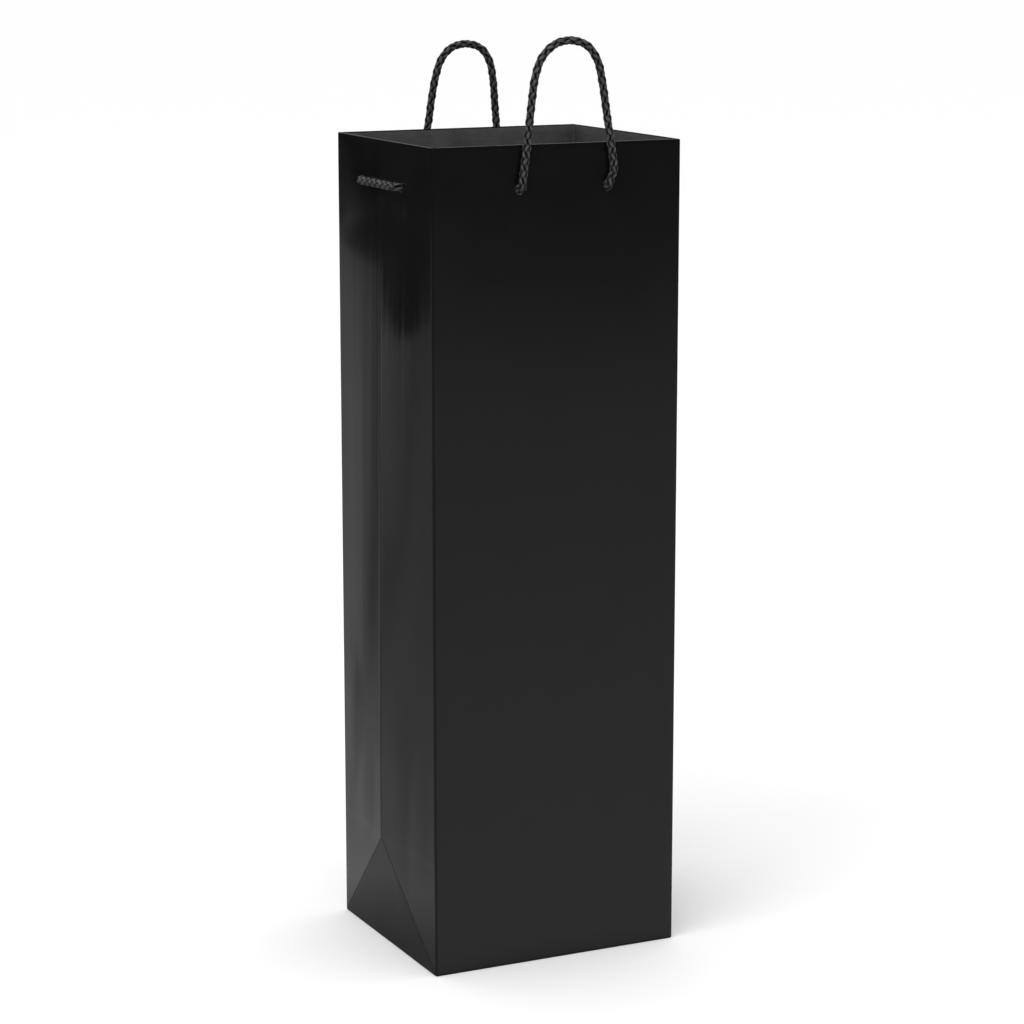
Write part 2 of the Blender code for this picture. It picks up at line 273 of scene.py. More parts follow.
@dataclass(frozen=True)
class LaminateFinish:
    """Black print under a gloss film, with the creases that the folding machine pressed in; the panels are
    painted lighter than the gussets.
    """

    name: str = "gloss_film_black"
    # One black print in two tones: painted light makes the panels' tone lighter than the gussets', which
    # stand in shade
    deep: Colour = (0.0022, 0.0022, 0.0023)
    panel_painted_lighter: Colour = (0.0040, 0.0040, 0.0041)
    worn: Colour = (0.0054, 0.0054, 0.0056)
    scuffed: Colour = (0.022, 0.022, 0.023)
    worn_share: float = 0.35
    smooth: float = 0.055
    dull: float = 0.105
    film_ior: float = 1.47
    gloss: float = 0.5
    # What is taken off the gloss: on the triangles, over the rim and corners, and on creases
    triangle_dull: float = 0.30
    turned_dull: float = 0.96
    corner_share: float = 0.50  # how much of the rim's dulling a corner has
    crease_dull: float = 0.75
    # Half a crease's width where it is whole, and where it has faded out
    middle_crease: tuple[float, float] = (0.0003, 0.0011)
    slanted_crease: tuple[float, float] = (0.0003, 0.0012)
    foot_crease: tuple[float, float] = (0.0004, 0.0014)
    # Cells a metre of each pattern, along each axis where it is drawn out
    mottle_cells: float = 55.0
    chip_cells: float = 620.0
    drag_cells: Point = (240.0, 240.0, 7.0)
    wave_cells: float = 13.0
    streak_cells: Point = (120.0, 120.0, 4.0)
    fibre_cells: float = 1500.0
    # Depths of the bumps
    waves: float = 0.00022
    streaks: float = 0.000055
    pressed: float = 0.00005
    fibres: float = 0.000004

    def build(self, sheet: "SleeveSizes") -> Material:
        """Makes the finish.

        Args:
            sheet: The sleeve's sizes, which place the creases.

        Returns:
            The material.
        """
        s = Shading(self.name)
        place = s.place()
        spot = SheetMap(s, sheet)
        crease = self.creases(s, spot)
        mottle = s.noise(place, self.mottle_cells, 5.0, 0.62)
        # Painted light: the panels take a lighter copy of the print than the gussets
        printed = s.mix(spot.on_panel, self.deep, self.panel_painted_lighter)
        handled = s.times(s.ramp(mottle, 0.30, 0.72), self.worn_share)
        chips = s.ramp(s.noise(place, self.chip_cells, 4.0), 0.45, 0.70, 0.04, 0.45)
        whitened = s.math("MULTIPLY", crease, chips, clamp=True)
        s.feed("Base Color", s.mix(whitened, s.mix(handled, printed, self.worn), self.scuffed))
        drag = s.noise(s.stretched(place, self.drag_cells), 1.0, 2.0)
        cloud = s.math("ADD", s.times(mottle, 0.6), s.times(drag, 0.4))
        s.feed("Roughness", s.ramp(cloud, 0.35, 0.70, self.smooth, self.dull))
        s.put("IOR", self.film_ior)
        s.feed("Specular IOR Level", self.shine(s, spot, crease))
        waves = s.bump(s.noise(place, self.wave_cells, 1.0), self.waves)
        streaks = s.bump(s.noise(s.stretched(place, self.streak_cells), 1.0, 1.0), self.streaks, waves)
        pressed = s.bump(crease, self.pressed, streaks)
        s.feed("Normal", s.bump(s.noise(place, self.fibre_cells, 2.0), self.fibres, pressed))
        return s.material

    def shine(self, s: Shading, spot: SheetMap, crease: Socket) -> Socket:
        """The film's gloss: dulled on creases, over the rim and on the bottom triangles.

        Args:
            s: The shading.
            spot: Where the point lies.
            crease: 1 on a crease and 0 away from it.

        Returns:
            The specular level.
        """
        triangle = s.times(s.ramp(spot.in_triangle, 0.0, 0.0006), spot.on_gusset)
        level = s.math("SUBTRACT", self.gloss, s.times(triangle, self.triangle_dull))
        turned = s.math("MAXIMUM", spot.on_rim, s.times(spot.on_corner, self.corner_share))
        taken = s.math("MAXIMUM", s.times(turned, self.turned_dull), s.times(crease, self.crease_dull))
        return s.times(level, s.math("SUBTRACT", 1.0, taken))

    def creases(self, s: Shading, spot: SheetMap) -> Socket:
        """How close a point is to a pressed crease.

        Args:
            s: The shading.
            spot: Where the point lies.

        Returns:
            1 on a crease, falling to 0 beside it.
        """
        middle = s.times(s.ramp(spot.off_middle, *self.middle_crease, 1.0, 0.0), spot.above_apex)
        off_slant = s.math("ABSOLUTE", spot.in_triangle)
        below_apex = s.math("SUBTRACT", 1.0, spot.above_apex)
        slanted = s.times(s.ramp(off_slant, *self.slanted_crease, 1.0, 0.0), below_apex)
        on_fold = s.times(s.math("MAXIMUM", middle, slanted), spot.on_gusset)
        foot = s.ramp(spot.height, *self.foot_crease, 1.0, 0.0)
        return s.math("MAXIMUM", on_fold, foot, clamp=True)


@dataclass(frozen=True)
class PaperFinish:
    """Uncoated paper or board: cloudy fibre, no gloss."""

    name: str
    dark: Colour
    light: Colour
    roughness: float = 0.82
    cloud_scale: float = 90.0
    fibre_depth: float = 0.00003

    def build(self) -> Material:
        """Makes the finish.

        Returns:
            The material.
        """
        s = Shading(self.name)
        place = s.place()
        clouds = s.noise(place, self.cloud_scale, 5.0, 0.6)
        flecks = s.noise(s.stretched(place, (900.0, 420.0, 900.0)), 1.0, 3.0)
        share = s.math("ADD", s.times(clouds, 0.6), s.times(flecks, 0.4))
        s.feed("Base Color", s.mix(s.ramp(share, 0.36, 0.66), self.dark, self.light))
        s.feed("Roughness", s.ramp(flecks, 0.3, 0.7, self.roughness - 0.08, self.roughness + 0.06))
        s.put("Specular IOR Level", 0.35)
        rough = s.bump(s.noise(place, 1100.0, 4.0, 0.65), self.fibre_depth)
        s.feed("Normal", s.bump(clouds, 4 * self.fibre_depth, rough))
        return s.material


@dataclass(frozen=True)
class YarnFinish:
    """Black filament yarn: fine fibres along each strand, with a soft sheen, painted lighter where a strand
    stands out and painted dark in the gaps.
    """

    name: str = "black_filament_yarn"
    # Painted shade and highlight: gap is the strands painted dark where they sink into the braid; deep to
    # bright is the fibres' streaked tone, its bright end set as a painted highlight on the strands' tops
    gap: Colour = (0.0015, 0.0015, 0.0016)
    deep: Colour = (0.0040, 0.0040, 0.0041)
    bright: Colour = (0.082, 0.082, 0.084)
    roughness: float = 0.44
    fibres_round: float = 9.0
    fibres_along: float = 330.0
    shows_from: float = 0.76  # the lift at which a strand comes out of the gaps
    shows_fully: float = 0.98

    def build(self) -> Material:
        """Makes the finish.

        Returns:
            The material.
        """
        s = Shading(self.name)
        drawn_out = s.stretched(s.along(), (self.fibres_along, self.fibres_round, 1.0))
        threads = s.noise(drawn_out, 1.0, 3.0, 0.6)
        strand = s.mix(s.ramp(threads, 0.30, 0.72), self.deep, self.bright)
        # Painted shade in the gaps and painted highlight on the tops, laid by how far the strand stands out
        out = s.ramp(s.lift(), self.shows_from, self.shows_fully)
        s.feed("Base Color", s.mix(out, self.gap, strand))
        s.feed("Roughness", s.ramp(threads, 0.3, 0.7, self.roughness + 0.12, self.roughness - 0.06))
        s.feed("Specular IOR Level", s.ramp(s.lift(), self.shows_from, self.shows_fully, 0.03, 0.34))
        s.put("Sheen Weight", 0.07)
        s.put("Sheen Roughness", 0.45)
        s.put("Sheen Tint", (0.55, 0.55, 0.57))
        s.feed("Normal", s.bump(threads, 0.00009))
        return s.material


@dataclass(frozen=True)
class ShrinkFinish:
    """The black shrink sleeve over the cord's join."""

    name: str = "black_shrink_sleeve"
    dark: Colour = (0.012, 0.012, 0.013)
    light: Colour = (0.026, 0.026, 0.027)

    def build(self) -> Material:
        """Makes the finish.

        Returns:
            The material.
        """
        s = Shading(self.name)
        lumps = s.noise(s.place(), 700.0, 3.0)
        s.feed("Base Color", s.mix(lumps, self.dark, self.light))
        s.feed("Roughness", s.ramp(lumps, 0.3, 0.7, 0.32, 0.50))
        s.feed("Normal", s.bump(lumps, 0.00012))
        return s.material


@dataclass
class Finishes:
    """All the bag's materials, made once."""

    film: Material
    inside: Material
    hem: Material
    card: Material
    board: Material
    yarn: Material
    shrink: Material

    @classmethod
    def make(cls, sheet: "SleeveSizes") -> "Finishes":
        """Builds every finish.

        Args:
            sheet: The sleeve's sizes, which place the creases in the film.

        Returns:
            The materials.
        """
        return cls(
            film=LaminateFinish().build(sheet),
            inside=PaperFinish("black_inner_paper", (0.020, 0.020, 0.020), (0.036, 0.036, 0.037)).build(),
            # Painted light: the turned-in hem is the same black film as outside, painted many times lighter
            # for the light inside the mouth
            hem=PaperFinish("hem_film_painted_lighter", (0.040, 0.040, 0.041), (0.064, 0.064, 0.066), 0.55).build(),
            card=PaperFinish("rim_card_board", (0.36, 0.33, 0.29), (0.47, 0.44, 0.40)).build(),
            board=PaperFinish("black_lined_board", (0.016, 0.016, 0.016), (0.034, 0.033, 0.032)).build(),
            yarn=YarnFinish().build(),
            shrink=ShrinkFinish().build(),
        )


# --------------------------------------------------------------------------- mesh helpers


def linked(name: str, data: bpy.types.ID) -> Object:
    """Puts a mesh, a light or a camera in the scene.

    Args:
        name: The object's name.
        data: The mesh, light or camera.

    Returns:
        The object.
    """
    obj = bpy.data.objects.new(name, data)
    bpy.context.scene.collection.objects.link(obj)
    return obj


def mesh_of(name: str, verts: Sequence, faces: Sequence[tuple[int, ...]]) -> Mesh:
    """Makes a mesh.

    Args:
        name: Its name.
        verts: Its points.
        faces: Its faces, as the numbers of their points.

    Returns:
        The mesh.
    """
    mesh = bpy.data.meshes.new(name)
    mesh.from_pydata(verts, [], faces)
    return mesh


def mesh_from(name: str, made: bmesh.types.BMesh) -> Mesh:
    """Turns an edit mesh into a mesh.

    Args:
        name: The mesh's name.
        made: The edit mesh, which is freed.

    Returns:
        The mesh.
    """
    mesh = bpy.data.meshes.new(name)
    made.to_mesh(mesh)
    made.free()
    return mesh


def thickened(name: str, mesh: Mesh, thickness: float, offset: float) -> tuple[Object, bpy.types.Modifier]:
    """Gives an open sheet its thickness.

    Args:
        name: The object's name.
        mesh: The open sheet.
        thickness: How thick it becomes.
        offset: 0 for both ways from the sheet, -1 for behind it only.

    Returns:
        The object and its modifier.
    """
    obj = linked(name, mesh)
    thick = obj.modifiers.new("thickness", "SOLIDIFY")
    thick.thickness = thickness
    thick.offset = offset
    return obj, thick


def baked(obj: Object) -> Mesh:
    """The mesh that an object's modifiers make.

    Args:
        obj: The object, which is removed.

    Returns:
        The evaluated mesh, as one of its own.
    """
    bpy.context.view_layer.update()
    graph = bpy.context.evaluated_depsgraph_get()
    mesh = bpy.data.meshes.new_from_object(obj.evaluated_get(graph))
    bpy.data.objects.remove(obj)
    return mesh


def smooth_by_angle(mesh: Mesh, degrees: float) -> None:
    """Shades a mesh smooth, apart from edges sharper than an angle."""
    mesh.shade_smooth()
    mesh.set_sharp_from_angle(angle=math.radians(degrees))


def new_piece(name: str, mesh: Mesh, materials: Sequence[Material], body: str | None) -> Object:
    """Puts a finished mesh in the scene as a piece of the bag.

    Args:
        name: The piece's name.
        mesh: Its mesh, in the bag's frame.
        materials: The materials to append to its slots.
        body: The body that it rides on, or None where it rides on none.

    Returns:
        The object.
    """
    obj = linked(name, mesh)
    for material in materials:
        mesh.materials.append(material)
    if body:
        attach(obj, body)
    log.info("%s: %d faces", name, len(mesh.polygons))
    return obj


def blended_steps(start: float, stop: float, count: int, crowd: float) -> np.ndarray:
    """Values from start to stop, crowded towards both ends.

    Args:
        start: The first value.
        stop: The last value.
        count: The number of intervals.
        crowd: 0 for even steps, up to 1 for the most crowding.

    Returns:
        The values.
    """
    even = np.linspace(0.0, 1.0, count + 1)
    eased = 0.5 - 0.5 * np.cos(np.pi * even)
    return start + (stop - start) * ((1 - crowd) * even + crowd * eased)


# --------------------------------------------------------------------------- the sleeve


@dataclass(frozen=True)
class Dent:
    """A soft dent in a gusset, given as its middle, its reach and how far it stands out."""

    y: float
    z: float
    wide: float
    tall: float
    out: float

    def at(self, y: float, z: float) -> float:
        """How far out the dent moves a point of the gusset."""
        off = ((y - self.y) / self.wide) ** 2 + ((z - self.z) / self.tall) ** 2
        return self.out * math.exp(-0.5 * off)


@dataclass(frozen=True)
class SleeveSizes:
    """The folded sheet's sizes."""

    half_width: float
    half_depth: float
    height: float
    paper: float = 0.00042
    crease_radius: float = 0.0007
    bulge: float = 0.0036  # how far the middle crease stands out at the top of its triangle
    apex_height: float = 0.0490
    hem_height: float = 0.040
    fold_y: float = 0.00115  # half the thickness of the front and back rims
    fold_x: float = 0.00060  # half the thickness of the gussets' rims
    rim_round: float = 0.00045  # how far below the rim the sheet begins to turn over
    hole_radius: float = 0.0023
    hole_drop: float = 0.0183
    dents: tuple[Dent, ...] = (
        Dent(-0.034, 0.066, 0.008, 0.024, 0.00045),
        Dent(-0.018, 0.083, 0.010, 0.020, -0.00040),
        Dent(0.038, 0.094, 0.008, 0.018, -0.00055),
        Dent(0.022, 0.066, 0.009, 0.016, 0.00040),
    )

    @classmethod
    def from_frame(cls) -> "SleeveSizes":
        """Reads the sheet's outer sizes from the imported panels."""
        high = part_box("front_panel")[1]
        return cls(half_width=high.x, half_depth=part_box("back_panel")[1].y, height=high.z)


@dataclass
class Sleeve:
    """The printed sheet as one folded tube: panels, gussets, bottom triangles and hem."""

    finishes: Finishes
    sizes: SleeveSizes
    holes: list[tuple[str, Point]]
    panel_columns: int = 26
    corner_columns: int = 4
    gusset_columns: int = 22
    wall_rows: int = 64
    hem_rows: int = 14
    fold_rows: int = 10
    crease_softness: float = 0.014  # as a share of half a gusset
    bow_share: float = 0.38  # how much of a gusset's bulge is a bow, and not a ridge
    bulge_left: float = 0.06  # the share of the bulge that is left at the rim
    thinning: float = 0.62  # how much of the bulge is lost on the way up
    pull_depth: float = 0.0005
    pull_reach: float = 0.012
    panel_bow: float = -0.0005
    panel_slow: float = 0.00030
    panel_quick: float = 0.00008
    gusset_slow: float = 0.00045
    gusset_quick: float = 0.00016

    def gusset_shares(self) -> np.ndarray:
        """How far across half a gusset each column is, from its corner (0) to the middle (1)."""
        return blended_steps(0.0, 1.0, self.gusset_columns, 0.75)

    def bulge_at(self, share: np.ndarray, z: float) -> np.ndarray:
        """How far a gusset stands out.

        Args:
            share: 0 at the corner and 1 at the middle crease.
            z: The height.

        Returns:
            The distance past the flat gusset.
        """
        s = self.sizes
        if z < s.apex_height:
            return s.bulge * np.minimum(share, z / s.apex_height)
        up = (z - s.apex_height) / (s.height - s.apex_height)
        fade = (1.0 - self.thinning * up**2 / (up + 0.12)) * (1.0 - up**8)
        left = 1.0 - share
        ridge = 1.0 - np.sqrt(left**2 + self.crease_softness**2) + self.crease_softness
        bowed = (1 - self.bow_share) * ridge + self.bow_share * (1.0 - left**2)
        blend = min((z - s.apex_height) / 0.05, 1.0)
        shape = np.minimum((1 - blend) * ridge + blend * bowed, 1.0)
        return s.bulge * (self.bulge_left + (1 - self.bulge_left) * fade) * shape

    def section(self, z: float, inset_x: float, inset_y: float) -> list[Point]:
        """One loop round the sheet.

        Args:
            z: Its height.
            inset_x: How far the gussets are drawn in from the outer face.
            inset_y: How far the panels are drawn in.

        Returns:
            The loop's points, anticlockwise from above, from the front panel's left end.
        """
        s = self.sizes
        wide = s.half_width - inset_x
        deep = s.half_depth - inset_y
        r = s.crease_radius
        shares = self.gusset_shares()
        out = self.bulge_at(shares, min(max(z, 0.0), s.height))
        half = [(wide + o, -(deep - r) + y) for o, y in zip(out, shares * (deep - r))]
        gusset = half + [(x, -y) for x, y in half[-2::-1]]
        panel = [(x, -deep) for x in blended_steps(-(wide - r), wide - r, self.panel_columns, 0.35)]
        turn = np.linspace(0.0, math.pi / 2, self.corner_columns + 1)[1:-1]
        corner = [(wide - r + r * math.sin(a), -(deep - r) - r * math.cos(a)) for a in turn]
        half_loop = panel + corner + gusset + [(x, -y) for x, y in corner[::-1]]
        return [(x, y, z) for x, y in half_loop + [(-x, -y) for x, y in half_loop]]

    def rows(self) -> list[tuple[float, float, float]]:
        """The sections from under the foot, up the wall, over the rim and down the hem.

        Returns:
            The height and the two insets of each section.
        """
        s = self.sizes
        mid = s.paper / 2
        r = s.crease_radius - mid
        made = []
        for a in np.linspace(math.pi / 2, 0.0, 5)[:-1]:
            inset = mid + r * (1 - math.cos(a))
            made.append((mid + r - r * math.sin(a), inset, inset))
        top = s.height - s.rim_round
        made.append((mid + r, mid, mid))
        triangle = [s.apex_height * share for share in self.gusset_shares()]
        made += [(z, mid, mid) for z in triangle if z > mid + r + 0.0003]
        made += [(z, mid, mid) for z in blended_steps(s.apex_height, top, self.wall_rows, 0.5)[1:]]
        turn = s.rim_round - mid
        turn_x, turn_y = s.fold_x - mid, s.fold_y - mid
        for a in np.linspace(0.0, math.pi, self.fold_rows + 1)[1:]:
            insets = []
            for reach in (turn_x, turn_y):
                square = math.copysign(abs(math.cos(a)) ** (turn / reach), math.cos(a))
                insets.append(mid + reach * (1 - square))
            made.append((top + turn * math.sin(a), *insets))
        for z in np.linspace(top, s.height - s.hem_height, self.hem_rows + 1)[1:]:
            made.append((z, mid + 2 * turn_x, mid + 2 * turn_y))
        return made

    def flex(self, p: Point) -> Point:
        """Moves a point as stiff paper gives: slow bows, dents, and a pinch where the cord pulls.

        Args:
            p: The point on the plain folded sheet.

        Returns:
            The moved point.
        """
        s = self.sizes
        x, y, z = p
        up = min(max(z / s.height, 0.0), 1.0)
        free = math.sin(math.pi * min(up * 1.04, 1.0)) ** 0.6
        across = 1.0 - min(abs(x) / s.half_width, 1.0) ** 4
        beside = 1.0 - min(abs(y) / s.half_depth, 1.0) ** 4
        slow = noise.noise(Vector((x * 9.0 + 3.1, y * 9.0 - 1.7, z * 6.0)))
        quick = noise.noise(Vector((x * 26.0 - 5.2, y * 26.0 + 2.3, z * 11.0)))
        on_panel = abs(y) > s.half_depth - 0.0030
        on_gusset = abs(x) > s.half_width - 0.0030
        if on_panel and not (on_gusset and abs(y) < s.half_depth - 0.0005):
            bow = ((self.panel_bow + self.panel_slow * slow) * free + self.panel_quick * quick) * across
            y += math.copysign(bow, y)
        if on_gusset:
            pull = math.exp(-((z - s.height + s.hole_drop) ** 2) / (2 * self.pull_reach**2))
            bow = self.gusset_slow * slow + self.gusset_quick * quick * (0.4 + 0.6 * free)
            bow += sum(dent.at(y, z) for dent in s.dents) - self.pull_depth * pull
            x += math.copysign(bow * beside, x)
        return x, y, z

    def surface(self) -> Mesh:
        """The sheet's middle surface, as one lofted mesh.

        Returns:
            The open mesh, its faces pointing to the printed side.
        """
        rows = self.rows()
        loops = [self.section(*row) for row in rows]
        rim = max(range(len(rows)), key=lambda i: rows[i][0])
        count = len(loops[0])
        first = self.panel_columns + self.corner_columns
        middle = first + self.gusset_columns
        faces = []
        for i in range(len(rows) - 1):
            slanted = rows[i + 1][0] <= self.sizes.apex_height + 1e-6 and i < rim
            for j in range(count):
                a = i * count + j
                b = i * count + (j + 1) % count
                c, d = b + count, a + count
                k = j % (count // 2)
                if slanted and first <= k < middle:
                    faces += [(a, b, c), (a, c, d)]
                elif slanted and middle <= k < middle + self.gusset_columns:
                    faces += [(a, b, d), (b, c, d)]
                else:
                    faces.append((a, b, c, d))
        return mesh_of("sleeve", [self.flex(p) for loop in loops for p in loop], faces)

    def build(self) -> Object:
        """Makes the whole sleeve, thickened and punched.

        Returns:
            The piece.
        """
        skin, thick = thickened("sleeve_skin", self.surface(), self.sizes.paper, 0.0)
        thick.material_offset = 1
        for material in (self.finishes.film, self.finishes.inside):
            skin.data.materials.append(material)
        cutters = [self.punch(number, along, place) for number, (along, place) in enumerate(self.holes)]
        for cutter in cutters:
            cut = skin.modifiers.new("hole", "BOOLEAN")
            cut.operation = "DIFFERENCE"
            cut.object = cutter
        mesh = baked(skin)
        for cutter in cutters:
            bpy.data.objects.remove(cutter)
        smooth_by_angle(mesh, 38.0)
        mesh.materials.append(self.finishes.hem)
        self.dress(mesh)
        obj = new_piece("folded_sleeve", mesh, (), BAG)
        walls = [f"{side}_{part}" for side in ("front", "back") for part in ("panel", "hem")]
        walls += [f"{side}_{part}" for side in ("left", "right") for part in ("gusset", "hem")]
        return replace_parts(obj, *walls)

    def punch(self, number: int, along: str, place: Point) -> Object:
        """A cutter for one cord hole.

        Args:
            number: The hole's number.
            along: The axis that it is punched along, X or Y.
            place: Its centre.

        Returns:
            The cutter.
        """
        made = bmesh.new()
        radius = self.sizes.hole_radius
        bmesh.ops.create_cone(made, cap_ends=True, segments=28, radius1=radius, radius2=radius, depth=0.014)
        name = f"punch_{number}"
        obj = linked(name, mesh_from(name, made))
        obj.location = place
        obj.rotation_euler = (math.pi / 2, 0, 0) if along == "Y" else (0, math.pi / 2, 0)
        return obj

    def dress(self, mesh: Mesh) -> None:
        """Gives the turned-in part of the printed side its own slot.

        Args:
            mesh: The sleeve's mesh.
        """
        s = self.sizes
        hem_slot = len(mesh.materials) - 1
        for face in mesh.polygons:
            c, n = face.center, face.normal
            inward = n.x * c.x < 0 if abs(n.x) > abs(n.y) else n.y * c.y < 0
            deep = abs(c.x) < s.half_width - s.fold_x or abs(c.y) < s.half_depth - s.fold_y
            near = abs(c.x) > s.half_width - 3 * s.fold_x or abs(c.y) > s.half_depth - 3 * s.fold_y
            level = s.height - s.hem_height - 0.001 < c.z < s.height - s.rim_round - 0.0003
            if level and inward and near and deep and face.material_index == 0:
                face.material_index = hem_slot


@dataclass
class SeamTab:
    """The glued tab that closes the sleeve, inside the back panel."""

    finishes: Finishes
    ripple: float = 0.00012
    taper: float = 0.006  # how far its cut ends slant in
    columns: int = 6
    rows: int = 60

    def build(self) -> Object:
        """Makes the tab as a thin rippled strip with cut ends.

        Returns:
            The piece.
        """
        low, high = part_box("seam_tab")
        verts = []
        for up in np.linspace(0.0, 1.0, self.rows + 1):
            z = low.z + (high.z - low.z) * up
            start = low.x + self.taper * max(0.0, 0.03 - min(up, 1 - up)) / 0.03
            for x in np.linspace(start, high.x, self.columns + 1):
                wave = self.ripple * noise.noise(Vector((x * 90.0, 4.0, z * 24.0)))
                verts.append((x, (low.y + high.y) / 2 - abs(wave), z))
        wide = self.columns + 1
        corners = [i * wide + j for i in range(self.rows) for j in range(self.columns)]
        faces = [(a, a + 1, a + 1 + wide, a + wide) for a in corners]
        strip = mesh_of("seam_tab_strip", verts, faces)
        mesh = baked(thickened("seam_skin", strip, (high.y - low.y) * 0.8, 0.0)[0])
        smooth_by_angle(mesh, 40.0)
        mesh.materials.clear()
        obj = new_piece("glued_seam_tab", mesh, (self.finishes.inside,), BAG)
        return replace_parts(obj, "seam_tab")


# --------------------------------------------------------------------------- bottom and board


@dataclass
class FlatCut:
    """A flat piece die-cut from sheet: an outline with rounded corners and softened edges."""

    name: str
    outline: list[tuple[float, float]]
    z_low: float
    thickness: float
    corner: float
    edge: float
    bow: float
    cell: float = 0.008

    def mesh(self) -> Mesh:
        """Cuts, thickens and bows the piece.

        Returns:
            The mesh.
        """
        made = bmesh.new()
        face = made.faces.new([made.verts.new((x, y, 0.0)) for x, y in self.rounded()])
        if face.normal.z < 0:
            face.normal_flip()
        self.slice_up(made)
        sheet = mesh_from(self.name + "_sheet", made)
        skin = thickened(self.name + "_skin", sheet, self.thickness, -1.0)[0]
        soft = skin.modifiers.new("soft_edge", "BEVEL")
        soft.width = self.edge
        soft.segments = 2
        soft.limit_method = "ANGLE"
        soft.angle_limit = math.radians(60)
        mesh = baked(skin)
        self.settle(mesh)
        smooth_by_angle(mesh, 50.0)
        mesh.materials.clear()
        return mesh

    def rounded(self) -> list[tuple[float, float]]:
        """The outline with an arc at each corner.

        Returns:
            Its points.
        """
        made = []
        for i, point in enumerate(self.outline):
            here = Vector(point)
            before = (Vector(self.outline[i - 1]) - here).normalized()
            after = (Vector(self.outline[(i + 1) % len(self.outline)]) - here).normalized()
            for t in np.linspace(0.0, 1.0, 5):
                start = here + before * self.corner * (1 - t)
                end = here + after * self.corner * t
                made.append(tuple(start.lerp(end, t)))
        return made

    def slice_up(self, made: bmesh.types.BMesh) -> None:
        """Cuts the flat face into a grid that can bow.

        Args:
            made: The mesh, lying in XY.
        """
        for axis, normal in ((0, (1, 0, 0)), (1, (0, 1, 0))):
            places = [point[axis] for point in self.outline]
            for place in np.arange(min(places) + self.cell, max(places), self.cell):
                every = made.verts[:] + made.edges[:] + made.faces[:]
                bmesh.ops.bisect_plane(made, geom=every, plane_co=Vector(normal) * place, plane_no=normal)

    def settle(self, mesh: Mesh) -> None:
        """Lifts the sheet to its level, with its slow bow.

        Args:
            mesh: The thickened mesh, whose top is at 0.
        """
        for vertex in mesh.vertices:
            x, y, _ = vertex.co
            lift = self.bow * abs(noise.noise(Vector((x * 14.0 + 1.0, y * 14.0, 2.0))))
            vertex.co.z += self.z_low + self.thickness + lift


@dataclass
class BlockBottom:
    """The bottom: two tucks folded in first, then the front flap, then the glued back flap."""

    finishes: Finishes
    sizes: SleeveSizes
    inset: float = 0.0009
    flap_slant: float = 0.004
    tuck_slant: float = 0.022

    def build(self) -> list[Object]:
        """Makes the four flaps.

        Returns:
            The pieces.
        """
        made = []
        deep = self.sizes.half_depth - self.inset
        wide = self.sizes.half_width - self.inset
        for side in Side:
            node = f"{side.word}_bottom_flap"
            low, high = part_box(node)
            inner = high.y if side is Side.FRONT else low.y
            outer = side.value * deep
            narrow = wide - self.flap_slant
            outline = [(-wide, outer), (wide, outer), (narrow, inner), (-narrow, inner)]
            finish = self.finishes.inside if side is Side.FRONT else self.finishes.film
            made.append(self.flap(node, outline[:: -side.value], low.z, finish, f"glued_{side.word}_flap"))
        for word, sign in (("left", -1), ("right", 1)):
            node = f"{word}_bottom_tuck"
            low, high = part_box(node)
            outer = sign * (wide - 0.0004)
            inner = low.x if sign > 0 else high.x
            short = high.y - self.tuck_slant
            outline = [(outer, -high.y), (inner, -short), (inner, short), (outer, high.y)]
            finish = self.finishes.inside
            made.append(self.flap(node, outline[::-sign], low.z, finish, f"folded_{word}_tuck"))
        return made

    def flap(self, node: str, outline: list[tuple[float, float]], level: float,
             finish: Material, name: str) -> Object:
        """Makes one flap of the sheet.

        Args:
            node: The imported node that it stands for.
            outline: Its outline.
            level: The height of its lower face.
            finish: Its material.
            name: The piece's name.

        Returns:
            The piece.
        """
        cut = FlatCut(name, outline, level, self.sizes.paper, corner=0.0022, edge=0.00006, bow=0.00004)
        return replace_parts(new_piece(name, cut.mesh(), (finish,), BAG), node)


@dataclass
class BaseBoard:
    """The loose board that stiffens the base and carries the bottle."""

    finishes: Finishes
    corner: float = 0.003
    edge: float = 0.0002
    bow: float = 0.00025

    def build(self) -> Object:
        """Makes the board.

        Returns:
            The piece.
        """
        low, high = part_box("base_board")
        outline = [(low.x, low.y), (high.x, low.y), (high.x, high.y), (low.x, high.y)]
        cut = FlatCut("loose_base_board", outline, low.z, high.z - low.z, self.corner, self.edge, self.bow)
        obj = new_piece(cut.name, cut.mesh(), (self.finishes.board,), "base_board")
        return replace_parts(obj, "base_board")


# --------------------------------------------------------------------------- the cord


@dataclass(frozen=True)
class Braid:
    """How the cord is braided: eight flat strands, one over and one under."""

    strands: int = 8
    lay: float = 0.0215  # length of one full turn of a strand
    core_radius: float = 0.00085
    ring_radius: float = 0.00111
    weave: float = 0.00026
    strand_half_width: float = 0.00074
    strand_half_height: float = 0.00047
    sides: int = 8
    step: float = 0.00055

    @property
    def radius(self) -> float:
        """The braid's outer radius."""
        return self.ring_radius + self.weave + self.strand_half_height


